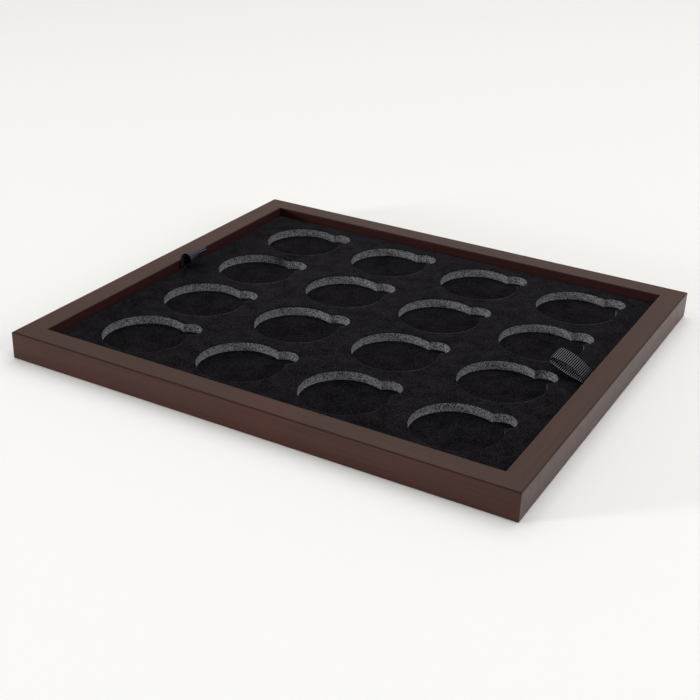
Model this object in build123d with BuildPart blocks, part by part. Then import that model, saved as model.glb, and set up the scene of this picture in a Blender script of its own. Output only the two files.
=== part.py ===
"""Coin capsule tray: a mitred wooden frame round a lift-out foam insert with ribbon pulls.

Millimetres. +X runs along the long side, +Y to the back and +Z up. The origin is on the
table, at the middle of the tray.
"""
import math
import os

from build123d import *

# Pockets: a grid for capsules of a standard outside diameter, each with a finger notch
CAPSULE_DIAMETER = 46.0
CAPSULE_CLEARANCE = 0.2
POCKETS_LONG_WAY = 4
POCKETS_SHORT_WAY = 4
LAND_BETWEEN_X = 15.5
LAND_BETWEEN_Y = 8.5
LAND_AT_SIDES = 14.65
LAND_AT_FRONT = 8.65
NOTCH_RADIUS = 7.7
NOTCH_ANGLE = 45.0

# Insert: card, lining, foam and facing, from the bottom up
SEAT_CLEARANCE = 0.1
CARD_THICKNESS = 1.6
LINING_THICKNESS = 0.4
FOAM_THICKNESS = 5.2
FACING_THICKNESS = 0.4
INSERT_GAP = 1.3
INSERT_CORNER_ROUND = 1.0

# Frame
TRAY_HEIGHT = 15.5
RAIL_WIDTH = 13.0
TOP_ROUND = 0.8
FOOT_ROUND = 0.5

# Base panel, its rebate under the rails and its brads
PANEL_THICKNESS = 2.5
REBATE_WIDTH = 7.0
REBATE_CLEARANCE = 0.2
BRAD_RADIUS = 0.6
BRAD_HEAD_RADIUS = 1.2
BRAD_HEAD_THICKNESS = 0.5
BRAD_GRIP = 7.0
BRADS_LONG_SIDE = 4
BRADS_SHORT_SIDE = 3
BRAD_END_INSET = 36.0

# V-nails across the mitres
V_NAIL_LEG = 3.4
V_NAIL_THICKNESS = 0.6
V_NAIL_HEIGHT = 9.0
V_NAIL_SETBACK = 2.0

# Ribbon pulls
RIBBON_WIDTH = 13.0
RIBBON_THICKNESS = 0.5
RIBBON_CLEARANCE = 0.15
TAIL_TUCK = 24.0
LOOP_CLEARANCE = 0.3
LEFT_PULL_Y = 8.5
RIGHT_PULL_Y = -2.5

# Outlines that follow from the pockets outwards
POCKET_RADIUS = CAPSULE_DIAMETER / 2 + CAPSULE_CLEARANCE
POCKET_PITCH_X = 2 * POCKET_RADIUS + LAND_BETWEEN_X
POCKET_PITCH_Y = 2 * POCKET_RADIUS + LAND_BETWEEN_Y
NOTCH_X = POCKET_RADIUS * math.cos(math.radians(NOTCH_ANGLE))
NOTCH_Y = POCKET_RADIUS * math.sin(math.radians(NOTCH_ANGLE))
INSERT_LENGTH = (POCKETS_LONG_WAY - 1) * POCKET_PITCH_X + 2 * (POCKET_RADIUS + LAND_AT_SIDES)
INSERT_DEPTH = (POCKETS_SHORT_WAY - 1) * POCKET_PITCH_Y + 2 * (POCKET_RADIUS + LAND_AT_FRONT)
WELL_LENGTH = INSERT_LENGTH + 2 * INSERT_GAP
WELL_DEPTH = INSERT_DEPTH + 2 * INSERT_GAP
TRAY_LENGTH = WELL_LENGTH + 2 * RAIL_WIDTH
TRAY_DEPTH = WELL_DEPTH + 2 * RAIL_WIDTH
GAP_MIDDLE_X = WELL_LENGTH / 2 - INSERT_GAP / 2

# Heights that follow from the base upwards
CARD_BOTTOM = PANEL_THICKNESS + SEAT_CLEARANCE
LINING_BOTTOM = CARD_BOTTOM + CARD_THICKNESS
FOAM_BOTTOM = LINING_BOTTOM + LINING_THICKNESS
FACING_BOTTOM = FOAM_BOTTOM + FOAM_THICKNESS
INSERT_TOP = FACING_BOTTOM + FACING_THICKNESS

os.makedirs("parts", exist_ok=True)


def save(part, name):
    """Label a finished part and write its STEP file."""
    part.label = name
    export_step(part, f"parts/{name}.step")


# Fasteners, whose shapes are also cut out of the wood that holds them

with BuildPart() as corner_v_nails:
    with BuildSketch():
        for side_x in (-1, 1):
            for side_y in (-1, 1):
                apex_x = side_x * (TRAY_LENGTH / 2 - V_NAIL_SETBACK)
                apex_y = side_y * (TRAY_DEPTH / 2 - V_NAIL_SETBACK)
                with Locations((apex_x - side_x * V_NAIL_LEG / 2, apex_y - side_y * V_NAIL_THICKNESS / 2)):
                    Rectangle(V_NAIL_LEG, V_NAIL_THICKNESS)
                with Locations((apex_x - side_x * V_NAIL_THICKNESS / 2, apex_y - side_y * V_NAIL_LEG / 2)):
                    Rectangle(V_NAIL_THICKNESS, V_NAIL_LEG)
    extrude(amount=V_NAIL_HEIGHT)
save(corner_v_nails.part, "corner_v_nails")

BRAD_LINE_X = WELL_LENGTH / 2 + REBATE_WIDTH / 2
BRAD_LINE_Y = WELL_DEPTH / 2 + REBATE_WIDTH / 2
LONG_SPACING = (TRAY_LENGTH - 2 * BRAD_END_INSET) / (BRADS_LONG_SIDE - 1)
SHORT_SPACING = (TRAY_DEPTH - 2 * BRAD_END_INSET) / (BRADS_SHORT_SIDE - 1)
LONG_SIDE_BRADS = GridLocations(LONG_SPACING, 2 * BRAD_LINE_Y, BRADS_LONG_SIDE, 2)
SHORT_SIDE_BRADS = GridLocations(2 * BRAD_LINE_X, SHORT_SPACING, 2, BRADS_SHORT_SIDE)

with BuildPart() as base_brads:
    with BuildSketch():
        with LONG_SIDE_BRADS:
            Circle(BRAD_HEAD_RADIUS)
        with SHORT_SIDE_BRADS:
            Circle(BRAD_HEAD_RADIUS)
    extrude(amount=BRAD_HEAD_THICKNESS)
    with BuildSketch():
        with LONG_SIDE_BRADS:
            Circle(BRAD_RADIUS)
        with SHORT_SIDE_BRADS:
            Circle(BRAD_RADIUS)
    extrude(amount=PANEL_THICKNESS + BRAD_GRIP)
save(base_brads.part, "base_brads")


# Frame rails


def build_rail(name, outward, length, middle):
    """Build one rail: its section run along the side, then cut to a mitre at each end.

    outward is the unit vector from the tray's middle through the rail, and middle is the
    middle of the rail's outer bottom edge. The section's own x runs inwards and its y up.
    """
    along = outward.rotate(Axis.Z, 90)
    section_plane = Plane(middle, x_dir=-outward, z_dir=along)
    with BuildPart() as rail:
        with BuildSketch(section_plane) as section:
            with BuildLine():
                Polyline(
                    (0, 0),
                    (RAIL_WIDTH - REBATE_WIDTH, 0),
                    (RAIL_WIDTH - REBATE_WIDTH, PANEL_THICKNESS),
                    (RAIL_WIDTH, PANEL_THICKNESS),
                    (RAIL_WIDTH, TRAY_HEIGHT),
                    (0, TRAY_HEIGHT),
                    close=True,
                )
            make_face()
            fillet(section.vertices().group_by(Axis.Y)[-1], TOP_ROUND)
            outer_foot = section.vertices().group_by(Axis.Y)[0].sort_by(Axis.X)[0]
            fillet(outer_foot, FOOT_ROUND)
        extrude(amount=length / 2, both=True)
        for end in (-1, 1):
            corner = middle + along * (end * length / 2)
            mitre_normal = along * end - outward
            split(bisect_by=Plane(corner, z_dir=mitre_normal), keep=Keep.BOTTOM)
        add(corner_v_nails.part, mode=Mode.SUBTRACT)
        add(base_brads.part, mode=Mode.SUBTRACT)
    save(rail.part, name)


build_rail("front_rail", Vector(0, -1, 0), TRAY_LENGTH, Vector(0, -TRAY_DEPTH / 2, 0))
build_rail("back_rail", Vector(0, 1, 0), TRAY_LENGTH, Vector(0, TRAY_DEPTH / 2, 0))
build_rail("left_rail", Vector(-1, 0, 0), TRAY_DEPTH, Vector(-TRAY_LENGTH / 2, 0, 0))
build_rail("right_rail", Vector(1, 0, 0), TRAY_DEPTH, Vector(TRAY_LENGTH / 2, 0, 0))


# Base panel

with BuildPart() as base_panel:
    with BuildSketch():
        Rectangle(
            WELL_LENGTH + 2 * (REBATE_WIDTH - REBATE_CLEARANCE),
            WELL_DEPTH + 2 * (REBATE_WIDTH - REBATE_CLEARANCE),
        )
    extrude(amount=PANEL_THICKNESS)
    add(base_brads.part, mode=Mode.SUBTRACT)
save(base_panel.part, "base_panel")


# Insert: every layer has the same rounded outline, and the upper two have the pockets


def draw_insert_outline():
    """Draw the outline that the layers of the insert share."""
    RectangleRounded(INSERT_LENGTH, INSERT_DEPTH, INSERT_CORNER_ROUND)


def cut_pockets():
    """Cut each round pocket and the finger notch on its rim out of a layer's sketch."""
    with GridLocations(POCKET_PITCH_X, POCKET_PITCH_Y, POCKETS_LONG_WAY, POCKETS_SHORT_WAY):
        Circle(POCKET_RADIUS, mode=Mode.SUBTRACT)
        with Locations((NOTCH_X, NOTCH_Y)):
            Circle(NOTCH_RADIUS, mode=Mode.SUBTRACT)


# The ribbon lies in a channel under the card, as wide as the ribbon and its clearance
TAIL_THICKNESS = 2 * RIBBON_THICKNESS
CHANNEL_DEPTH = TAIL_THICKNESS + 2 * RIBBON_CLEARANCE
PULLS = {"left": (-1, LEFT_PULL_Y), "right": (1, RIGHT_PULL_Y)}

with BuildPart() as floor_card:
    with BuildSketch(Plane.XY.offset(CARD_BOTTOM)):
        draw_insert_outline()
    extrude(amount=CARD_THICKNESS)
    with BuildSketch(Plane.XY.offset(CARD_BOTTOM)):
        for side, pull_y in PULLS.values():
            with Locations((side * (INSERT_LENGTH / 2 - TAIL_TUCK / 2), pull_y)):
                Rectangle(TAIL_TUCK + 2 * RIBBON_CLEARANCE, RIBBON_WIDTH + 2 * RIBBON_CLEARANCE)
    extrude(amount=CHANNEL_DEPTH, mode=Mode.SUBTRACT)
save(floor_card.part, "floor_card")

with BuildPart() as floor_lining:
    with BuildSketch(Plane.XY.offset(LINING_BOTTOM)):
        draw_insert_outline()
    extrude(amount=LINING_THICKNESS)
save(floor_lining.part, "floor_lining")

with BuildPart() as foam_pad:
    with BuildSketch(Plane.XY.offset(FOAM_BOTTOM)):
        draw_insert_outline()
        cut_pockets()
    extrude(amount=FOAM_THICKNESS)
save(foam_pad.part, "foam_pad")

with BuildPart() as velvet_facing:
    with BuildSketch(Plane.XY.offset(FACING_BOTTOM)):
        draw_insert_outline()
        cut_pockets()
    extrude(amount=FACING_THICKNESS)
save(velvet_facing.part, "velvet_facing")


# Ribbon pulls: a tail fixed under the card, and a loop that swings at the gap's mouth

ROOT_HEIGHT = INSERT_TOP + LOOP_CLEARANCE + RIBBON_THICKNESS / 2
TAIL_BOTTOM = CARD_BOTTOM + RIBBON_CLEARANCE
TAIL_TOP = ROOT_HEIGHT - RIBBON_THICKNESS / 2 - LOOP_CLEARANCE


def build_tail(name, side, pull_y):
    """Build one tail: doubled ribbon under the card that turns up into the gap."""
    with BuildPart() as tail:
        with BuildSketch(Plane.XZ.offset(-pull_y)):
            with BuildLine():
                run_out = Line(
                    (side * (INSERT_LENGTH / 2 - TAIL_TUCK), TAIL_BOTTOM + TAIL_THICKNESS / 2),
                    (side * GAP_MIDDLE_X, TAIL_BOTTOM + TAIL_THICKNESS / 2),
                )
                Line(run_out @ 1, (side * GAP_MIDDLE_X, TAIL_TOP))
            trace(line_width=TAIL_THICKNESS)
        extrude(amount=RIBBON_WIDTH / 2, both=True)
    save(tail.part, name)


def arc_radius(heading, tip_middle, tip_radius):
    """Radius of the arc that leaves the root on a heading and runs smoothly into the tip.

    heading is the sideways unit vector from the root to the arc's own middle.
    """
    reach = tip_middle.length**2 - tip_radius**2
    return reach / (2 * (heading.dot(tip_middle) - tip_radius))


def build_loop(name, side, pull_y, tip_middle, tip_radius, upper_angle, lower_angle):
    """Build one loop: two arcs from the root at the gap's mouth, joined by a round tip.

    The loop is drawn with the root at zero and x inwards from the rail. tip_middle and
    tip_radius place the round tip, and the two angles are where the arcs leave the root.
    """
    upper = math.radians(upper_angle)
    lower = math.radians(lower_angle)
    upper_heading = Vector(math.sin(upper), -math.cos(upper))
    lower_heading = Vector(-math.sin(lower), math.cos(lower))
    upper_middle = upper_heading * arc_radius(upper_heading, tip_middle, tip_radius)
    lower_middle = lower_heading * arc_radius(lower_heading, tip_middle, tip_radius)
    upper_end = tip_middle + (tip_middle - upper_middle).normalized() * tip_radius
    lower_end = tip_middle + (tip_middle - lower_middle).normalized() * tip_radius
    root_plane = Plane((side * GAP_MIDDLE_X, pull_y, ROOT_HEIGHT), x_dir=(-side, 0, 0), z_dir=(0, side, 0))
    with BuildPart() as loop:
        with BuildSketch(root_plane):
            with BuildLine():
                lower_arc = TangentArc(
                    (0, 0), lower_end, tangent=(math.cos(lower), math.sin(lower))
                )
                tip_arc = TangentArc(lower_end, upper_end, tangent=lower_arc % 1)
                TangentArc(upper_end, (0, 0), tangent=tip_arc % 1)
            make_face()
            offset(amount=RIBBON_THICKNESS / 2)
            offset(amount=-RIBBON_THICKNESS, mode=Mode.SUBTRACT)
        extrude(amount=RIBBON_WIDTH / 2, both=True)
    save(loop.part, name)
    return loop


for pull, (side, pull_y) in PULLS.items():
    build_tail(f"{pull}_ribbon_tail", side, pull_y)

left_loop = build_loop(
    "left_ribbon_loop", *PULLS["left"], Vector(3.2, 6.1), 3.5, upper_angle=94, lower_angle=30
)
right_loop = build_loop(
    "right_ribbon_loop", *PULLS["right"], Vector(18.6, 7.8), 2.6, upper_angle=54, lower_angle=5
)
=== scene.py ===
"""Dresses the coin capsule tray: lacquered frame, die-cut foam insert, velvet and ribbon pulls.

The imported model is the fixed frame. Its rails, panel, card and fasteners stay and get their
finishes here, and the soft pieces are replaced by finer surfaces in the same places. Sizes in
the shape functions are millimetres, and every mesh is written in metres.
"""
import math

import bpy
import numpy as np
from mathutils import Matrix, Vector


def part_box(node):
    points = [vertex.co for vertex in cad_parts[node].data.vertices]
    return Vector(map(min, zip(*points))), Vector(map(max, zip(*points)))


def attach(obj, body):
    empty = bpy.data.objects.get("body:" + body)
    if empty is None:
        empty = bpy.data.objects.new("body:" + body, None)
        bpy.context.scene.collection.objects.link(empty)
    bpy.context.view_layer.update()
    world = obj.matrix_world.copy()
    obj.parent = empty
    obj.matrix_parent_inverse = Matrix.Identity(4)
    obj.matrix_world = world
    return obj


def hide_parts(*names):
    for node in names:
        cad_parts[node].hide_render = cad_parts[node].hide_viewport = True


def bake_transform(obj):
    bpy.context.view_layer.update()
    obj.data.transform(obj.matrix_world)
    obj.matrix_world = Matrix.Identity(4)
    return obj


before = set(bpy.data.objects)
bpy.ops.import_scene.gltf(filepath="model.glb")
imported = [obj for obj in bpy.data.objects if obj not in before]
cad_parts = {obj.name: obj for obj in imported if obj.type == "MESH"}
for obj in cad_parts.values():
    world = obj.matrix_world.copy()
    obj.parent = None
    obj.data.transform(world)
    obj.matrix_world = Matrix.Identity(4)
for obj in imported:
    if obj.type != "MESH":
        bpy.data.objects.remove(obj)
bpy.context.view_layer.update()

MM = 0.001
SEED = 46


def box_mm(node_name):
    """Lowest and highest corner of a CAD node, in millimetres."""
    low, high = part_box(node_name)
    return np.array(low) / MM, np.array(high) / MM


# Sizes that the frame gives

FRONT_LOW, FRONT_HIGH = box_mm("front_rail")
TRAY_CORNER = np.array([FRONT_HIGH[0], -FRONT_LOW[1], FRONT_HIGH[2]])
WELL_HALF_X = -box_mm("left_rail")[1][0]
RAIL_WIDTH = TRAY_CORNER[0] - WELL_HALF_X
INSERT_LOW, INSERT_HIGH = box_mm("velvet_facing")
INSERT_HALF = INSERT_HIGH[:2]
INSERT_TOP = INSERT_HIGH[2]
FACING_BOTTOM = INSERT_LOW[2]
FOAM_BOTTOM = box_mm("foam_pad")[0][2]
LINING_BOTTOM = box_mm("floor_lining")[0][2]
CARD_BOTTOM = box_mm("floor_card")[0][2]

# Sizes of the pockets and ribbons, as the part has them

POCKET_RADIUS = 23.2
POCKET_PITCH = np.array([61.9, 54.9])
POCKETS_EACH_WAY = 4
NOTCH_RADIUS = 7.7
NOTCH_ANGLE = math.radians(45)
INSERT_CORNER_ROUND = 1.0
RIBBON_WIDTH = 13.0
RIBBON_THICKNESS = 0.5
RIBBON_CLEARANCE = 0.15
LOOP_CLEARANCE = 0.3
TAIL_TUCK = 24.0
GAP_MIDDLE_X = (WELL_HALF_X + INSERT_HALF[0]) / 2
ROOT_HEIGHT = INSERT_TOP + LOOP_CLEARANCE + RIBBON_THICKNESS / 2


# Camera and stage

CAMERA_AZIMUTH = math.radians(28.543)
CAMERA_ELEVATION = math.radians(26.252)
CAMERA_ROLL = math.radians(2.145)
CAMERA_DISTANCE = 0.6431
CAMERA_TARGET = Vector((0.0155, -0.04891, 0.0155))
CAMERA_LENS_MM = 63.19
CAMERA_SENSOR_MM = 36.0
FLOOR_HALF_SIZE = 12.0
FLOOR_DROP = 0.0001
BRIGHT_WALL_DIRECTION = (-0.45, 0.89, 0.0)
WALL_IN_FRONT = "6e6b67"
WALL_BEHIND = "bbb6af"
CEILING = "dcdbd8"


def linear(hex_colour):
    """Linear RGBA of an sRGB colour written as six hex digits."""
    values = np.array([int(hex_colour[i : i + 2], 16) for i in (0, 2, 4)]) / 255
    bright = ((values + 0.055) / 1.055) ** 2.4
    return (*np.where(values <= 0.04045, values / 12.92, bright).tolist(), 1.0)


def add_node(tree, kind, inputs=None, **settings):
    """Add one node. Its inputs are values, or the nodes and sockets that they come from.

    Inputs whose names repeat go by number. On a colour mix, 0 is the share of the second colour,
    6 is the first colour and 7 the second.
    """
    node = tree.nodes.new(kind)
    for name, value in settings.items():
        setattr(node, name, value)
    for name, value in (inputs or {}).items():
        if isinstance(value, bpy.types.Node):
            value = next(output for output in value.outputs if output.enabled)
        if isinstance(value, bpy.types.NodeSocket):
            tree.links.new(value, node.inputs[name])
        else:
            node.inputs[name].default_value = value
    return node


def empty_material(name):
    """A material without nodes, and its node tree."""
    material = bpy.data.materials.new(name)
    material.use_nodes = True
    material.node_tree.nodes.clear()
    return material, material.node_tree


def build_camera():
    """Place the camera at the photograph's angle, turned by its small roll."""
    back = Vector((
        math.sin(CAMERA_AZIMUTH) * math.cos(CAMERA_ELEVATION),
        -math.cos(CAMERA_AZIMUTH) * math.cos(CAMERA_ELEVATION),
        math.sin(CAMERA_ELEVATION),
    ))
    level_right = Vector((0, 0, 1)).cross(back).normalized()
    level_up = back.cross(level_right)
    right = level_right * math.cos(CAMERA_ROLL) + level_up * math.sin(CAMERA_ROLL)
    up = back.cross(right)
    camera = bpy.data.objects.new("photo_camera", bpy.data.cameras.new("photo_camera"))
    camera.data.lens = CAMERA_LENS_MM
    camera.data.sensor_width = CAMERA_SENSOR_MM
    camera.matrix_world = Matrix.Translation(CAMERA_TARGET + back * CAMERA_DISTANCE) @ Matrix(
        (right, up, back)
    ).transposed().to_4x4()
    bpy.context.scene.collection.objects.link(camera)
    bpy.context.scene.camera = camera


def add_softbox(name, place, size, watts, mirrored=True):
    """A square area lamp at place, facing the middle of the tray, mirrored in it or not."""
    lamp = bpy.data.lights.new(name, "AREA")
    lamp.size = size
    lamp.energy = watts
    holder = bpy.data.objects.new(name, lamp)
    holder.location = place
    holder.rotation_euler = Vector(place).to_track_quat("Z", "Y").to_euler()
    holder.visible_camera = False
    holder.visible_glossy = mirrored
    bpy.context.scene.collection.objects.link(holder)


def build_world():
    """Studio walls: bright behind the tray, dimmer in front of it, with a pale ceiling."""
    world = bpy.data.worlds.new("studio")
    world.use_nodes = True
    bpy.context.scene.world = world
    tree = world.node_tree
    tree.nodes.clear()
    direction = add_node(tree, "ShaderNodeTexCoord").outputs["Generated"]
    height = add_node(tree, "ShaderNodeSeparateXYZ", {"Vector": direction}).outputs["Z"]
    to_bright_wall = add_node(
        tree, "ShaderNodeVectorMath", {0: direction, 1: BRIGHT_WALL_DIRECTION}, operation="DOT_PRODUCT"
    ).outputs["Value"]
    rearward = add_node(
        tree, "ShaderNodeMapRange", {"Value": to_bright_wall, "From Min": -0.6, "From Max": 0.8}
    )
    upward = add_node(tree, "ShaderNodeMapRange", {"Value": height, "From Min": 0.5, "From Max": 1.0})
    walls = add_node(
        tree,
        "ShaderNodeMix",
        {0: rearward, 6: linear(WALL_IN_FRONT), 7: linear(WALL_BEHIND)},
        data_type="RGBA",
    )
    sky = add_node(tree, "ShaderNodeMix", {0: upward, 6: walls, 7: linear(CEILING)}, data_type="RGBA")
    background = add_node(tree, "ShaderNodeBackground", {"Color": sky})
    add_node(tree, "ShaderNodeOutputWorld", {"Surface": background})


def build_floor():
    """A wide sheet of matt white paper under the tray."""
    half = FLOOR_HALF_SIZE
    corners = [(-half, -half), (half, -half), (half, half), (-half, half)]
    mesh = bpy.data.meshes.new("paper_floor")
    mesh.from_pydata([(x, y, -FLOOR_DROP) for x, y in corners], [], [(0, 1, 2, 3)])
    floor = bpy.data.objects.new("paper_floor", mesh)
    bpy.context.scene.collection.objects.link(floor)
    paper, tree = empty_material("matt_white_paper")
    shader = add_node(tree, "ShaderNodeBsdfPrincipled", {"Base Color": linear("fbfbfb"), "Roughness": 0.9})
    add_node(tree, "ShaderNodeOutputMaterial", {"Surface": shader})
    mesh.materials.append(paper)


# Materials


def lacquered_mahogany(name, grain_axis):
    """Dark-stained mahogany under satin lacquer, with its grain along x (0) or y (1).

    The stain hides most of the figure, so the eye gets long faint streaks, a redder patch here
    and there, a soft change of polish, and shallow filled pores. A painted shade darkens a line
    along the outer top arris, and more painted shade darkens the inner face.
    """
    material, tree = empty_material(name)
    place = add_node(tree, "ShaderNodeTexCoord").outputs["Object"]
    streak_size = [1.6 * MM] * 3
    streak_size[grain_axis] = 60 * MM
    pore_size = [0.35 * MM] * 3
    pore_size[grain_axis] = 4 * MM
    patch_size = 70 * MM
    polish_size = 5 * MM
    streak_place = add_node(
        tree, "ShaderNodeMapping", {"Vector": place, "Scale": [1 / size for size in streak_size]}
    )
    pore_place = add_node(
        tree, "ShaderNodeMapping", {"Vector": place, "Scale": [1 / size for size in pore_size]}
    )
    streaks = add_node(
        tree, "ShaderNodeTexNoise", {"Vector": streak_place, "Scale": 1, "Detail": 4, "Roughness": 0.6}
    )
    pores = add_node(tree, "ShaderNodeTexNoise", {"Vector": pore_place, "Scale": 1, "Detail": 1})
    patches = add_node(tree, "ShaderNodeTexNoise", {"Vector": place, "Scale": 1 / patch_size, "Detail": 1})
    polish = add_node(tree, "ShaderNodeTexNoise", {"Vector": place, "Scale": 1 / polish_size, "Detail": 2})
    streak = add_node(
        tree, "ShaderNodeMapRange", {"Value": streaks.outputs["Fac"], "From Min": 0.3, "From Max": 0.7}
    )
    patch = add_node(
        tree,
        "ShaderNodeMapRange",
        {"Value": patches.outputs["Fac"], "From Min": 0.5, "From Max": 0.75, "To Max": 0.5},
    )
    stain = add_node(
        tree, "ShaderNodeMix", {0: streak, 6: linear("351c17"), 7: linear("40251d")}, data_type="RGBA"
    )
    wood = add_node(tree, "ShaderNodeMix", {0: patch, 6: stain, 7: linear("4b2319")}, data_type="RGBA")

    # Painted shade: a dark line along the outer top arris, mixed into the wood's colour.
    arris_core = 0.3 * MM
    arris_reach = 1.2 * MM
    across_rail = [0.0, 0.0, 1.0]
    across_rail[1 - grain_axis] = 1.0
    outward = add_node(tree, "ShaderNodeVectorMath", {0: place}, operation="ABSOLUTE")
    from_corner = add_node(
        tree, "ShaderNodeVectorMath", {0: outward, 1: TRAY_CORNER * MM}, operation="SUBTRACT"
    )
    in_section = add_node(
        tree, "ShaderNodeVectorMath", {0: from_corner, 1: across_rail}, operation="MULTIPLY"
    )
    apart = add_node(tree, "ShaderNodeVectorMath", {0: in_section}, operation="LENGTH").outputs["Value"]
    painted_arris_shade = add_node(
        tree,
        "ShaderNodeMapRange",
        {"Value": apart, "From Min": arris_core, "From Max": arris_reach, "To Min": 0.6, "To Max": 0},
    )
    edged = add_node(tree, "ShaderNodeMix", {0: painted_arris_shade, 6: wood, 7: linear("1a0d0a")}, data_type="RGBA")

    # Painted shade: the inner face, towards the well, is mixed towards a darker, redder brown.
    inner_skin_start = (RAIL_WIDTH - 0.4) * MM
    inner_skin_end = (RAIL_WIDTH - 0.05) * MM
    inwards = [0.0, 0.0, 0.0]
    inwards[1 - grain_axis] = -1.0
    from_outside = add_node(
        tree, "ShaderNodeVectorMath", {0: from_corner, 1: inwards}, operation="DOT_PRODUCT"
    ).outputs["Value"]
    painted_inner_shade = add_node(
        tree,
        "ShaderNodeMapRange",
        {
            "Value": from_outside,
            "From Min": inner_skin_start,
            "From Max": inner_skin_end,
            "To Max": 0.75,
        },
    )
    # stained is the stained wood with both painted shades mixed in.
    stained = add_node(
        tree, "ShaderNodeMix", {0: painted_inner_shade, 6: edged, 7: linear("2e1a1c")}, data_type="RGBA"
    )

    gloss = add_node(
        tree,
        "ShaderNodeMapRange",
        {"Value": polish.outputs["Fac"], "From Min": 0.3, "From Max": 0.7, "To Min": 0.32, "To Max": 0.38},
    )
    filled = add_node(
        tree, "ShaderNodeMapRange", {"Value": pores.outputs["Fac"], "From Min": 0.25, "From Max": 0.45}
    )
    raised = add_node(tree, "ShaderNodeBump", {"Height": filled, "Distance": 0.008 * MM, "Strength": 1})
    shader = add_node(
        tree,
        "ShaderNodeBsdfPrincipled",
        {
            "Base Color": stained,
            "Roughness": gloss,
            "IOR": 1.5,
            "Specular IOR Level": 0.25,
            "Normal": raised,
        },
    )
    add_node(tree, "ShaderNodeOutputMaterial", {"Surface": shader})
    return material


def birch_plywood():
    """Rotary-cut birch plywood, raw: pale tan with wide wavy figure and fine short fibres."""
    material, tree = empty_material("raw_birch_plywood")
    figure_size = (90 * MM, 9 * MM, 9 * MM)
    fibre_size = (8 * MM, 0.4 * MM, 0.4 * MM)
    place = add_node(tree, "ShaderNodeTexCoord").outputs["Object"]
    figure_place = add_node(
        tree, "ShaderNodeMapping", {"Vector": place, "Scale": [1 / size for size in figure_size]}
    )
    fibre_place = add_node(
        tree, "ShaderNodeMapping", {"Vector": place, "Scale": [1 / size for size in fibre_size]}
    )
    figure = add_node(
        tree, "ShaderNodeTexNoise", {"Vector": figure_place, "Scale": 1, "Detail": 3, "Roughness": 0.6}
    )
    fibres = add_node(tree, "ShaderNodeTexNoise", {"Vector": fibre_place, "Scale": 1, "Detail": 2})
    ring = add_node(
        tree, "ShaderNodeMapRange", {"Value": figure.outputs["Fac"], "From Min": 0.35, "From Max": 0.65}
    )
    fibre = add_node(
        tree,
        "ShaderNodeMapRange",
        {"Value": fibres.outputs["Fac"], "From Min": 0.3, "From Max": 0.55, "To Min": 0.5, "To Max": 0},
    )
    veneer = add_node(
        tree, "ShaderNodeMix", {0: ring, 6: linear("a8835c"), 7: linear("c09a70")}, data_type="RGBA"
    )
    wood = add_node(tree, "ShaderNodeMix", {0: fibre, 6: veneer, 7: linear("8d6a46")}, data_type="RGBA")
    raised = add_node(
        tree, "ShaderNodeBump", {"Height": fibres.outputs["Fac"], "Distance": 0.03 * MM, "Strength": 1}
    )
    shader = add_node(
        tree,
        "ShaderNodeBsdfPrincipled",
        {"Base Color": wood, "Roughness": 0.65, "IOR": 1.5, "Specular IOR Level": 0.3, "Normal": raised},
    )
    add_node(tree, "ShaderNodeOutputMaterial", {"Surface": shader})
    return material


def zinc_plated_steel():
    """Zinc-plated steel wire and stampings: light grey metal, brushed dull by the dies."""
    material, tree = empty_material("zinc_plated_steel")
    scuff_size = 0.3 * MM
    place = add_node(tree, "ShaderNodeTexCoord").outputs["Object"]
    scuffs = add_node(tree, "ShaderNodeTexNoise", {"Vector": place, "Scale": 1 / scuff_size, "Detail": 2})
    metal = add_node(
        tree,
        "ShaderNodeMix",
        {0: scuffs.outputs["Fac"], 6: linear("9a9c9f"), 7: linear("c8c9ca")},
        data_type="RGBA",
    )
    dull = add_node(
        tree,
        "ShaderNodeMapRange",
        {"Value": scuffs.outputs["Fac"], "From Min": 0.3, "From Max": 0.7, "To Min": 0.28, "To Max": 0.45},
    )
    shader = add_node(
        tree, "ShaderNodeBsdfPrincipled", {"Base Color": metal, "Metallic": 1, "Roughness": dull}
    )
    add_node(tree, "ShaderNodeOutputMaterial", {"Surface": shader})
    return material


def grey_board():
    """Grey pulp board: flat grey with darker flecks of mixed paper fibre."""
    material, tree = empty_material("grey_pulp_board")
    fleck_size = 0.8 * MM
    place = add_node(tree, "ShaderNodeTexCoord").outputs["Object"]
    flecks = add_node(
        tree, "ShaderNodeTexNoise", {"Vector": place, "Scale": 1 / fleck_size, "Detail": 4, "Roughness": 0.7}
    )
    fleck = add_node(
        tree, "ShaderNodeMapRange", {"Value": flecks.outputs["Fac"], "From Min": 0.3, "From Max": 0.7}
    )
    pulp = add_node(
        tree, "ShaderNodeMix", {0: fleck, 6: linear("6c6862"), 7: linear("87837c")}, data_type="RGBA"
    )
    raised = add_node(
        tree, "ShaderNodeBump", {"Height": flecks.outputs["Fac"], "Distance": 0.05 * MM, "Strength": 1}
    )
    shader = add_node(
        tree,
        "ShaderNodeBsdfPrincipled",
        {"Base Color": pulp, "Roughness": 0.95, "IOR": 1.45, "Normal": raised},
    )
    add_node(tree, "ShaderNodeOutputMaterial", {"Surface": shader})
    return material


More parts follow.
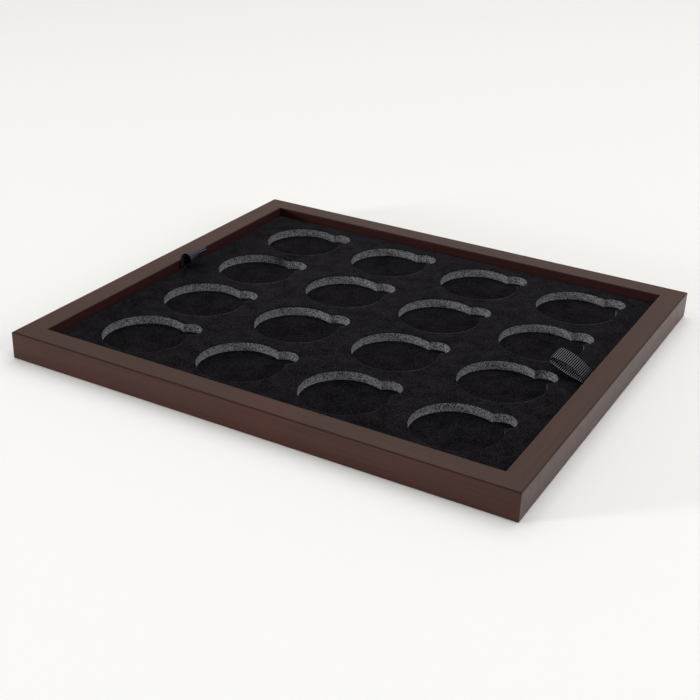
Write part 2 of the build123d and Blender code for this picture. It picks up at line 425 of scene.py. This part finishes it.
def flocked_velvet(name, dark, light):
    """Black flocked velvet: upright nylon fibres that swallow light, with pale lint on them.

    Flock is under 0.1 mm across, so the tone's grain is drawn at 0.8 mm to show at all, over
    faint patches where the pile leans. The sheen of the fibre tips draws a pale line where the
    surface turns away, as on a pocket's near edge. Lint is a speck in one cell of a few.
    """
    material, tree = empty_material(name)
    nap_size = 0.8 * MM
    lean_size = 9 * MM
    lint_cell = 1.4 * MM
    place = add_node(tree, "ShaderNodeTexCoord").outputs["Object"]
    nap = add_node(
        tree, "ShaderNodeTexNoise", {"Vector": place, "Scale": 1 / nap_size, "Detail": 2, "Roughness": 0.7}
    )
    lean = add_node(tree, "ShaderNodeTexNoise", {"Vector": place, "Scale": 1 / lean_size, "Detail": 2})
    both = add_node(
        tree,
        "ShaderNodeMath",
        {0: lean.outputs["Fac"], 1: 0.35, 2: nap.outputs["Fac"]},
        operation="MULTIPLY_ADD",
    )
    tone = add_node(tree, "ShaderNodeMapRange", {"Value": both, "From Min": 0.5, "From Max": 0.88})
    pile = add_node(tree, "ShaderNodeMix", {0: tone, 6: linear(dark), 7: linear(light)}, data_type="RGBA")
    lint = add_node(tree, "ShaderNodeTexVoronoi", {"Vector": place, "Scale": 1 / lint_cell})
    chance = add_node(tree, "ShaderNodeSeparateColor", {"Color": lint.outputs["Color"]}).outputs["Red"]
    speck = add_node(
        tree,
        "ShaderNodeMapRange",
        {"Value": lint.outputs["Distance"], "From Min": 0.06, "From Max": 0.16, "To Min": 1, "To Max": 0},
    )
    strength = add_node(
        tree, "ShaderNodeMapRange", {"Value": chance, "From Min": 0.55, "From Max": 1, "To Max": 0.45}
    )
    shown = add_node(tree, "ShaderNodeMath", {0: speck, 1: strength}, operation="MULTIPLY")
    cloth = add_node(tree, "ShaderNodeMix", {0: shown, 6: pile, 7: linear("8a868c")}, data_type="RGBA")
    raised = add_node(
        tree, "ShaderNodeBump", {"Height": nap.outputs["Fac"], "Distance": 0.12 * MM, "Strength": 1}
    )
    shader = add_node(
        tree,
        "ShaderNodeBsdfPrincipled",
        {
            "Base Color": cloth,
            "Roughness": 1,
            "IOR": 1.5,
            "Specular IOR Level": 0.03,
            "Sheen Weight": 0.4,
            "Sheen Roughness": 0.2,
            "Sheen Tint": linear("c9c6cd"),
            "Normal": raised,
        },
    )
    add_node(tree, "ShaderNodeOutputMaterial", {"Surface": shader})
    return material


def die_cut_foam():
    """Grey closed-cell polyethylene foam: the cutter opens its cells, so the wall is granular.

    Each cell of about 0.4 mm has its own grey and a pit in its middle, and wider clumps are a
    little lighter or darker. The wall is painted paler low down and darker near the facing, as
    painted light and shade.
    """
    material, tree = empty_material("die_cut_polyethylene_foam")
    cell_size = 0.38 * MM
    clump_size = 1.5 * MM
    place = add_node(tree, "ShaderNodeTexCoord").outputs["Object"]
    cells = add_node(tree, "ShaderNodeTexVoronoi", {"Vector": place, "Scale": 1 / cell_size})
    clumps = add_node(tree, "ShaderNodeTexNoise", {"Vector": place, "Scale": 1 / clump_size, "Detail": 3})
    own = add_node(tree, "ShaderNodeSeparateColor", {"Color": cells.outputs["Color"]}).outputs["Red"]
    both = add_node(
        tree, "ShaderNodeMath", {0: clumps.outputs["Fac"], 1: 0.3, 2: own}, operation="MULTIPLY_ADD"
    )
    tone = add_node(tree, "ShaderNodeMapRange", {"Value": both, "From Min": 0.2, "From Max": 1.15})
    # Painted light and shade: the tone is raised towards the wall's foot and lowered towards the facing.
    height = add_node(tree, "ShaderNodeSeparateXYZ", {"Vector": place}).outputs["Z"]
    painted_foot_light = add_node(
        tree,
        "ShaderNodeMapRange",
        {
            "Value": height,
            "From Min": FOAM_BOTTOM * MM,
            "From Max": FACING_BOTTOM * MM,
            "To Min": 1.3,
            "To Max": 0.8,
        },
    )
    tone_with_painted_light = add_node(tree, "ShaderNodeMath", {0: tone, 1: painted_foot_light}, operation="MULTIPLY")
    foam = add_node(
        tree, "ShaderNodeMix", {0: tone_with_painted_light, 6: linear("0d0d0f"), 7: linear("98979d")}, data_type="RGBA"
    )
    raised = add_node(
        tree, "ShaderNodeBump", {"Height": cells.outputs["Distance"], "Distance": 0.15 * MM, "Strength": 1}
    )
    shader = add_node(
        tree,
        "ShaderNodeBsdfPrincipled",
        {"Base Color": foam, "Roughness": 1, "IOR": 1.5, "Specular IOR Level": 0.05, "Normal": raised},
    )
    add_node(tree, "ShaderNodeOutputMaterial", {"Surface": shader})
    return material


def black_grosgrain(name, inner_painted_light):
    """Black polyester grosgrain: satin yarns over thick cross ribs, dull and dark in the grooves.

    The mesh has the ribs. Its rib_height runs from 0 in a groove or on the woven edge to 1 on a
    crest, and to -1 on the face inside the loop, whose crests are narrower. Grooves and woven
    edges are painted near black and without gloss, as painted shade, and the inside crests take a
    colour per ribbon that is painted light and shade. The UV map is in millimetres, along the
    ribbon and across it, and the lengthwise yarns are drawn 0.35 mm apart, wider than the real
    ones, so that they show.
    """
    material, tree = empty_material(name)
    yarn_pitch = 0.35
    band_pitch_at_scale_one = 0.31416
    fuzz_per_mm = 3
    place = add_node(tree, "ShaderNodeUVMap", uv_map="ribbon_mm")
    rib = add_node(tree, "ShaderNodeAttribute", attribute_name="rib_height").outputs["Fac"]
    yarns = add_node(
        tree,
        "ShaderNodeTexWave",
        {
            "Vector": place,
            "Scale": band_pitch_at_scale_one / yarn_pitch,
            "Distortion": 0.4,
            "Detail": 1,
        },
        bands_direction="Y",
    )
    fuzz = add_node(tree, "ShaderNodeTexNoise", {"Vector": place, "Scale": fuzz_per_mm, "Detail": 2})
    outer = add_node(
        tree,
        "ShaderNodeMix",
        {0: fuzz.outputs["Fac"], 6: linear("222227"), 7: linear("3b3b43")},
        data_type="RGBA",
    )
    # Painted light and shade: the face inside the loop takes a colour of its own for each ribbon.
    inside = add_node(tree, "ShaderNodeMath", {0: rib, 1: 0.0}, operation="LESS_THAN")
    satin = add_node(
        tree, "ShaderNodeMix", {0: inside, 6: outer, 7: linear(inner_painted_light)}, data_type="RGBA"
    )
    height = add_node(tree, "ShaderNodeMath", {0: rib}, operation="ABSOLUTE")
    foot = add_node(tree, "ShaderNodeMath", {0: inside, 1: 0.25, 2: 0.4}, operation="MULTIPLY_ADD")
    crest = add_node(tree, "ShaderNodeMapRange", {"Value": height, "From Min": foot, "From Max": 0.9})
    # Painted shade: grooves and woven edges are mixed to near black.
    cloth = add_node(tree, "ShaderNodeMix", {0: crest, 6: linear("020203"), 7: satin}, data_type="RGBA")
    gloss = add_node(tree, "ShaderNodeMapRange", {"Value": crest, "To Min": 0.9, "To Max": 0.34})
    raised = add_node(
        tree, "ShaderNodeBump", {"Height": yarns.outputs["Fac"], "Distance": 0.03 * MM, "Strength": 1}
    )
    shader = add_node(
        tree,
        "ShaderNodeBsdfPrincipled",
        {
            "Base Color": cloth,
            "Roughness": gloss,
            "IOR": 1.65,
            "Specular IOR Level": crest,
            "Specular Tint": linear("d4d4ee"),
            "Normal": raised,
        },
    )
    add_node(tree, "ShaderNodeOutputMaterial", {"Surface": shader})
    return material


# Shapes


def add_surface(name, points_mm, faces, material, sharp_angle=40, end_faces=()):
    """Put points, in millimetres, and faces into a smooth-shaded mesh object at the origin."""
    mesh = bpy.data.meshes.new(name)
    mesh.from_pydata((points_mm * MM).tolist(), [], [*faces.tolist(), *end_faces])
    mesh.materials.append(material)
    mesh.shade_smooth()
    mesh.set_sharp_from_angle(angle=math.radians(sharp_angle))
    piece = bpy.data.objects.new(name, mesh)
    bpy.context.scene.collection.objects.link(piece)
    return piece


def grid_faces(rows, columns, closed=False):
    """Quads of a grid of points numbered row by row, joined from last column to first if closed."""
    across = columns if closed else columns - 1
    row, column = np.meshgrid(np.arange(rows - 1), np.arange(across), indexing="ij")
    here = row * columns + column
    beside = row * columns + (column + 1) % columns
    return np.stack([here, here + columns, beside + columns, beside], axis=-1).reshape(-1, 4)


def weld(points, faces):
    """Give points that share a place, to a tenth of a micrometre, one number in the faces."""
    steps = np.round(points * 10_000).astype(np.int64)
    _, first, number = np.unique(steps, axis=0, return_index=True, return_inverse=True)
    return points[first], number.reshape(-1)[faces]


# Steps along a cell's sides, on half a notch, and on what is left of the ring for the pocket

STEPS_X = 62
STEPS_Y = 55
NOTCH_STEPS = 20
POCKET_STEPS = 2 * (STEPS_X + STEPS_Y) - 2 * NOTCH_STEPS


def rectangle_ring(half_x, half_y, steps_x, steps_y):
    """Points round a rectangle, anticlockwise from its +X +Y corner, at even steps along each side."""
    down_x = 1 - 2 * np.arange(steps_x) / steps_x
    down_y = 1 - 2 * np.arange(steps_y) / steps_y
    x = np.concatenate([down_x, -np.ones(steps_y), -down_x, np.ones(steps_y)])
    y = np.concatenate([np.ones(steps_x), down_y, -np.ones(steps_x), -down_y])
    return np.stack([x * half_x, y * half_y], axis=-1)


def pocket_ring(grown_by=0.0):
    """Points round a pocket with its notch, anticlockwise from the notch's tip.

    A circle of the pocket's radius and one of the notch's, whose middle is on the pocket's rim,
    both grown by the same amount. Each keeps the arc outside the other, sampled at even angles.
    """
    pocket = POCKET_RADIUS + grown_by
    notch = NOTCH_RADIUS + grown_by
    apart = POCKET_RADIUS
    pocket_cusp = math.acos((pocket**2 + apart**2 - notch**2) / (2 * pocket * apart))
    notch_cusp = math.pi - math.acos((notch**2 + apart**2 - pocket**2) / (2 * notch * apart))
    first_half = np.linspace(0, notch_cusp, NOTCH_STEPS, endpoint=False)
    round_pocket = np.linspace(pocket_cusp, 2 * math.pi - pocket_cusp, POCKET_STEPS, endpoint=False)
    second_half = np.linspace(-notch_cusp, 0, NOTCH_STEPS, endpoint=False)
    turns = [first_half, round_pocket, second_half]
    radii = [notch, pocket, notch]
    shifts = [apart, 0, apart]
    x = np.concatenate([
        shift + radius * np.cos(turn) for turn, radius, shift in zip(turns, radii, shifts)
    ])
    y = np.concatenate([radius * np.sin(turn) for turn, radius in zip(turns, radii)])
    cos, sin = math.cos(NOTCH_ANGLE), math.sin(NOTCH_ANGLE)
    return np.stack([x * cos - y * sin, x * sin + y * cos], axis=-1)


def round_corners(points, half, radius):
    """Pull points near the corners of a rectangle onto its round corners.

    What lies past the inner rectangle, which is smaller by radius, is scaled by its longer side
    over its length, which turns each corner square into a quarter disc.
    """
    inner = np.clip(points, radius - half, half - radius)
    past = points - inner
    length = np.linalg.norm(past, axis=-1, keepdims=True)
    longer = np.abs(past).max(axis=-1, keepdims=True)
    return inner + past * np.where(length > 0, longer / np.maximum(length, 1e-9), 1.0)


SETTLE_DEPTH = 0.04


def settle(points):
    """Lower the insert's layers by up to three settle depths, in proportion to their height.

    The fall is a wide wave, a sine along x times a cosine along y, plus a finer slanting sine of
    half the size, plus their greatest sum, so that it is never below zero.
    """
    x, y, z = points.T
    wide_wave = np.sin(x / 31 + 0.7) * np.cos(y / 27 - 0.4)
    fine_wave = 0.5 * np.sin(x / 13 - y / 17)
    share = (z - FOAM_BOTTOM) / (INSERT_TOP - FOAM_BOTTOM)
    return np.stack([x, y, z - share * SETTLE_DEPTH * (wide_wave + fine_wave + 1.5)], axis=-1)


def punched_layer(pocket_profile, border_profile):
    """Points and faces of a closed layer with the sixteen pockets punched through it.

    Each pocket has a cell of the grid. Its surface is a ring round the pocket carried along
    pocket_profile, rows of (grown by, height, share), where share goes from the pocket's ring at
    0 to the cell's border at 1. Round all the cells, a ring on their common border is carried
    along border_profile, rows of (share, inset, height), out to the insert's edge and back.
    """
    cell_half = POCKET_PITCH / 2
    border = rectangle_ring(*cell_half, STEPS_X, STEPS_Y)
    rows = []
    for grown, height, share in pocket_profile:
        flat = pocket_ring(grown) * (1 - share) + border * share
        rows.append(np.column_stack([flat, np.full(len(flat), height)]))
    cell = np.concatenate(rows)
    cell_faces = grid_faces(len(rows), len(border), closed=True)
    middles = np.arange(POCKETS_EACH_WAY) - (POCKETS_EACH_WAY - 1) / 2
    middle_x, middle_y = np.meshgrid(middles * POCKET_PITCH[0], middles * POCKET_PITCH[1])
    middle = np.stack([middle_x.ravel(), middle_y.ravel(), np.zeros(middle_x.size)], axis=-1)
    points = (cell[None] + middle[:, None]).reshape(-1, 3)
    faces = (cell_faces[None] + len(cell) * np.arange(len(middle))[:, None, None]).reshape(-1, 4)

    grid_half = cell_half * POCKETS_EACH_WAY
    steps = POCKETS_EACH_WAY * STEPS_X, POCKETS_EACH_WAY * STEPS_Y
    inside = rectangle_ring(*grid_half, *steps)
    edge_rows = []
    for share, inset, height in border_profile:
        half = INSERT_HALF - inset
        edge = round_corners(rectangle_ring(*half, *steps), half, INSERT_CORNER_ROUND)
        flat = inside * (1 - share) + edge * share
        edge_rows.append(np.column_stack([flat, np.full(len(flat), height)]))
    edge_faces = grid_faces(len(edge_rows), len(inside), closed=True)
    return weld(
        np.concatenate([points, *edge_rows]), np.concatenate([faces, edge_faces + len(points)])
    )


# Details of the insert's layers, finer than the part has

FACING_LIP_WIDTH = 2.0
FACING_LIP_DROP = 0.35
FACING_LIP_ROWS = 8
FACING_SHARES = (0.12, 0.3, 0.6, 1.0)
FOAM_FOOT_WIDTH = 0.5
FOAM_FOOT_HEIGHT = 0.4
FOAM_FOOT_BACK_HEIGHT = FOAM_FOOT_HEIGHT * 0.8
FOAM_WALL_ROWS = 13
FOAM_ROWS_PER_BORDER_ROW = 4
FOAM_ROUGHNESS = 0.05
FOAM_SMOOTH_MARGIN = 0.1
LINING_STEPS = 110
LINING_DIP = 0.04
LINING_FULLNESS = 0.8


def build_velvet_facing(material):
    """The flocked sheet on the foam, rolled over slightly where the cutter pressed it down.

    The lip's section is a quarter of an ellipse, as wide as the lip and as high as its drop.
    """
    lip = [
        (
            FACING_LIP_WIDTH * (1 - math.cos(turn)),
            INSERT_TOP - FACING_LIP_DROP * (1 - math.sin(turn)),
            0.0,
        )
        for turn in np.linspace(0, math.pi / 2, FACING_LIP_ROWS)
    ]
    pocket_profile = [
        (0.0, FACING_BOTTOM, 1.0),
        (0.0, FACING_BOTTOM, 0.0),
        *lip,
        *[(FACING_LIP_WIDTH, INSERT_TOP, share) for share in FACING_SHARES],
    ]
    rim = [(1.0, inset, height) for inset, height, _ in reversed(lip)]
    border_profile = [
        (0.0, 0.0, INSERT_TOP),
        (0.5, 0.0, INSERT_TOP),
        *rim,
        (1.0, 0.0, FACING_BOTTOM),
        (0.0, 0.0, FACING_BOTTOM),
    ]
    points, faces = punched_layer(pocket_profile, border_profile)
    facing = add_surface("facing_velvet", settle(points), faces, material)
    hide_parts("velvet_facing")
    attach(facing, "insert")


def build_foam_pad(material):
    """The grey foam under the facing, whose cut walls stand a little uneven.

    Each wall is upright, with every point shaken by a small seeded amount. It is cut back a
    little at its foot, so that a dark line runs round the pocket floor.
    """
    heights = np.linspace(FOAM_BOTTOM + FOAM_FOOT_HEIGHT, FACING_BOTTOM, FOAM_WALL_ROWS + 1)
    pocket_profile = [
        (0.0, FOAM_BOTTOM, 1.0),
        (FOAM_FOOT_WIDTH, FOAM_BOTTOM, 0.0),
        (FOAM_FOOT_WIDTH, FOAM_BOTTOM + FOAM_FOOT_BACK_HEIGHT, 0.0),
        *[(0.0, height, 0.0) for height in heights],
        (0.0, FACING_BOTTOM, 1.0),
    ]
    border_profile = [
        (0.0, 0.0, FACING_BOTTOM),
        *[(1.0, 0.0, height) for height in heights[::-FOAM_ROWS_PER_BORDER_ROW]],
        (1.0, 0.0, FOAM_BOTTOM),
        (0.0, 0.0, FOAM_BOTTOM),
    ]
    points, faces = punched_layer(pocket_profile, border_profile)
    above_floor = points[:, 2] - FOAM_BOTTOM
    below_facing = FACING_BOTTOM - points[:, 2]
    on_wall = np.minimum(above_floor, below_facing) > FOAM_SMOOTH_MARGIN
    shake = np.random.default_rng(SEED).uniform(-FOAM_ROUGHNESS, FOAM_ROUGHNESS, points.shape)
    pad = add_surface("pad_foam", settle(points + shake * on_wall[:, None]), faces, material)
    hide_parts("foam_pad")
    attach(pad, "insert")


def build_floor_lining(material):
    """The velvet sheet on the card, which shows as the floor of every pocket.

    Its top is a grid that dips by up to two lining dips, as one plus a sine along x times a
    cosine along y, and Solidify gives it its thickness downwards.
    """
    share = np.linspace(-1, 1, LINING_STEPS + 1)
    y, x = np.meshgrid(share * INSERT_HALF[1], share * INSERT_HALF[0], indexing="ij")
    flat = round_corners(np.stack([x.ravel(), y.ravel()], axis=-1), INSERT_HALF, INSERT_CORNER_ROUND)
    dip = LINING_DIP * (1 + np.sin(flat[:, 0] / 5 + 1.3) * np.cos(flat[:, 1] / 6))
    points = np.column_stack([flat, FOAM_BOTTOM - dip])
    faces = grid_faces(len(share), len(share))[:, ::-1]
    lining = add_surface("lining_velvet", points, faces, material)
    sheet = lining.modifiers.new("thickness", "SOLIDIFY")
    sheet.thickness = (FOAM_BOTTOM - LINING_BOTTOM) * MM * LINING_FULLNESS
    sheet.offset = -1
    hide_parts("floor_lining")
    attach(lining, "insert")


# Details of the ribbons, finer than the part has

RIB_PITCH = 1.07
RIB_DEPTH = 0.16
RIBBON_ROWS = 1200
FACE_COLUMNS = 14
WOVEN_EDGE_COLUMNS = 4
BEND_SMOOTHING_ROWS = 10
ARC_POINTS = 60
ROOT_BEND_POINTS = 3


def arc_points(middle, start, end):
    """Points of the clockwise arc from start to end round middle."""
    first = math.atan2(*(start - middle)[::-1])
    last = math.atan2(*(end - middle)[::-1])
    turn = first - np.linspace(0, (first - last) % (2 * math.pi), ARC_POINTS)
    radius = np.linalg.norm(start - middle)
    return middle + radius * np.stack([np.cos(turn), np.sin(turn)], axis=-1)


def even_steps(line, count):
    """The same line as count points at even steps along it."""
    run = np.concatenate([[0], np.cumsum(np.linalg.norm(np.diff(line, axis=0), axis=1))])
    places = np.linspace(0, run[-1], count)
    return np.stack([np.interp(places, run, line[:, i]) for i in range(line.shape[1])], axis=-1)


def ribbon_line(tip_middle, tip_radius, upper_angle, lower_angle):
    """Line along one edge of a ribbon pull, x inwards from the rail and y up, with the root at zero.

    It comes out from under the card, turns up in the gap on the rail's side, and runs along the
    upper arc, round the tip and back along the lower arc to the gap and under the card again.
    Each arc leaves the root on its angle and runs smoothly into the tip: for a heading n to the
    arc's middle, its radius is (|tip|^2 - tip radius^2) / (2 (n . tip - tip radius)). The arcs'
    points nearest the root are left out, and a running mean over about a millimetre then rounds
    the bends, as cloth does.
    """
    upper, lower = math.radians(upper_angle), math.radians(lower_angle)
    tip = np.array(tip_middle)
    arcs = []
    for heading in ((math.sin(upper), -math.cos(upper)), (-math.sin(lower), math.cos(lower))):
        heading = np.array(heading)
        radius = (tip @ tip - tip_radius**2) / (2 * (heading @ tip - tip_radius))
        middle = heading * radius
        away = tip - middle
        arcs.append((middle, tip + away / np.linalg.norm(away) * tip_radius))
    (upper_middle, upper_end), (lower_middle, lower_end) = arcs
    root = np.zeros(2)
    tuck_x = GAP_MIDDLE_X - INSERT_HALF[0] + TAIL_TUCK
    half = RIBBON_THICKNESS / 2
    lower_layer = CARD_BOTTOM + RIBBON_CLEARANCE + half - ROOT_HEIGHT
    upper_layer = lower_layer + RIBBON_THICKNESS
    mouth = -LOOP_CLEARANCE - half
    line = np.concatenate([
        [(tuck_x, lower_layer), (-half, lower_layer), (-half, mouth)],
        arc_points(upper_middle, root, upper_end)[ROOT_BEND_POINTS:],
        arc_points(tip, upper_end, lower_end)[1:],
        arc_points(lower_middle, lower_end, root)[1:-ROOT_BEND_POINTS],
        [(half, mouth), (half, upper_layer), (tuck_x, upper_layer)],
    ])
    line = even_steps(line, RIBBON_ROWS)
    window = BEND_SMOOTHING_ROWS
    padded = np.pad(line, ((window, window), (0, 0)), mode="edge")
    mean = np.ones(window) / window
    smooth = np.stack([np.convolve(padded[:, i], mean, mode="same") for i in (0, 1)], axis=-1)
    return even_steps(smooth[window:-window], RIBBON_ROWS)


def build_ribbon_pull(side, pull_y, front_loop, back_loop, material):
    """One ribbon pull: a ribbed strip with its two ends under the card, and a loop above.

    The strip's middle surface is ruled between two lines of equal rows, one along its front edge
    and one along its back edge, because a hand-set loop stands wider at one edge than the other.
    Across it the section is a flat oval, whose half thickness follows the ribs: a raised cosine
    along the strip, to the power of a half so that the crests are round and the grooves narrow.
    """
    lines = np.stack([ribbon_line(**front_loop), ribbon_line(**back_loop)])
    tangents = np.gradient(lines, axis=1)
    tangents /= np.linalg.norm(tangents, axis=2, keepdims=True)
    normals = np.stack([-tangents[..., 1], tangents[..., 0]], axis=-1)
    length = np.linalg.norm(np.diff(lines, axis=1), axis=2).sum(axis=1).mean()
    run = np.linspace(0, length, RIBBON_ROWS)
    rib = 0.5 + 0.5 * np.cos(2 * math.pi * run / RIB_PITCH)
    half = RIBBON_THICKNESS / 2 - RIB_DEPTH * (1 - np.sqrt(rib))

    edge = RIBBON_THICKNESS / 2
    flat_half = RIBBON_WIDTH / 2 - edge
    face = np.linspace(flat_half, -flat_half, FACE_COLUMNS)
    face_lift = np.ones(FACE_COLUMNS)
    turn = np.linspace(0, math.pi, WOVEN_EDGE_COLUMNS + 2)[1:-1]
    bulge = edge * np.sin(turn)
    across = np.concatenate([face, -flat_half - bulge, -face, flat_half + bulge])
    lift = np.concatenate([face_lift, np.cos(turn), -face_lift, -np.cos(turn)])
    back_share = (across / RIBBON_WIDTH + 0.5)[:, None]
    middle = lines[0][:, None] * (1 - back_share) + lines[1][:, None] * back_share
    normal = normals[0][:, None] * (1 - back_share) + normals[1][:, None] * back_share
    section = middle + normal * (half[:, None] * lift)[..., None]
    points = np.stack(
        np.broadcast_arrays(
            side * (GAP_MIDDLE_X - section[..., 0]), pull_y + across, ROOT_HEIGHT + section[..., 1]
        ),
        axis=-1,
    )
    rows, columns = points.shape[:2]
    faces = grid_faces(rows, columns, closed=True)[:, ::side]
    first_end = list(range(columns))[::side]
    last_end = list(range((rows - 1) * columns, rows * columns))[::-side]
    name = "right_ribbon" if side > 0 else "left_ribbon"
    pull = add_surface(
        name, points.reshape(-1, 3), faces, material, sharp_angle=80, end_faces=[first_end, last_end]
    )
    on_ribbon = np.stack(np.broadcast_arrays(run[:, None], across), axis=-1).reshape(-1, 2)
    corner_point = np.zeros(len(pull.data.loops), dtype=int)
    pull.data.loops.foreach_get("vertex_index", corner_point)
    pull.data.uv_layers.new(name="ribbon_mm").data.foreach_set("uv", on_ribbon[corner_point].ravel())
    rib_height = pull.data.attributes.new("rib_height", "FLOAT", "POINT")
    rib_height.data.foreach_set("value", np.outer(rib, lift).ravel())
    return pull, length


bpy.context.scene.view_settings.view_transform = "Standard"
build_camera()
build_world()
build_floor()
add_softbox("ceiling_softbox", place=(0.0, 1.0, 2.5), size=2.8, watts=31)
add_softbox("front_left_softbox", place=(-1.3, -1.4, 0.26), size=0.27, watts=25, mirrored=False)
add_softbox("right_softbox", place=(2.4, -0.25, 1.0), size=1.5, watts=25)

wood_along_x = lacquered_mahogany("satin_lacquered_mahogany_long_rails", grain_axis=0)
wood_along_y = lacquered_mahogany("satin_lacquered_mahogany_short_rails", grain_axis=1)
steel = zinc_plated_steel()
CAD_FINISHES = {
    "front_rail": wood_along_x,
    "back_rail": wood_along_x,
    "left_rail": wood_along_y,
    "right_rail": wood_along_y,
    "base_panel": birch_plywood(),
    "floor_card": grey_board(),
    "corner_v_nails": steel,
    "base_brads": steel,
}
for node_name, finish in CAD_FINISHES.items():
    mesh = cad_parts[node_name].data
    mesh.materials.clear()
    mesh.materials.append(finish)

build_foam_pad(die_cut_foam())
build_velvet_facing(flocked_velvet("flocked_black_velvet", dark="010102", light="252328"))
build_floor_lining(flocked_velvet("flocked_black_lining", dark="010102", light="222024"))

# The angles are those at which a loop's upper and lower arcs leave the root. The colour of the face
# inside each loop is painted light and shade: dark inside the left loop, which lies in deep shade,
# and pale inside the right one, where light falls on its lower strip.
RIBBONS = {
    "left": {
        "side": -1,
        "pull_y": 8.5,
        "front_loop": {"tip_middle": (3.9, 5.9), "tip_radius": 3.55, "upper_angle": 98, "lower_angle": 24},
        "back_loop": {"tip_middle": (8.8, 9.3), "tip_radius": 1.2, "upper_angle": 60, "lower_angle": 28},
        "inner_painted_light": "6c6b72",
    },
    "right": {
        "side": 1,
        "pull_y": -2.5,
        "front_loop": {"tip_middle": (19.2, 8.5), "tip_radius": 1.7, "upper_angle": 54, "lower_angle": 12},
        "back_loop": {"tip_middle": (18.5, 8.6), "tip_radius": 2.0, "upper_angle": 51, "lower_angle": 12},
        "inner_painted_light": "d8d7e0",
    },
}
for name, ribbon in RIBBONS.items():
    side = ribbon["side"]
    pull_y = ribbon["pull_y"]
    grosgrain = black_grosgrain(f"woven_black_grosgrain_painted_light_{name}", ribbon["inner_painted_light"])
    pull, length = build_ribbon_pull(
        side, pull_y, ribbon["front_loop"], ribbon["back_loop"], grosgrain
    )
    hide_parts(f"{name}_ribbon_tail", f"{name}_ribbon_loop")
    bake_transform(pull)
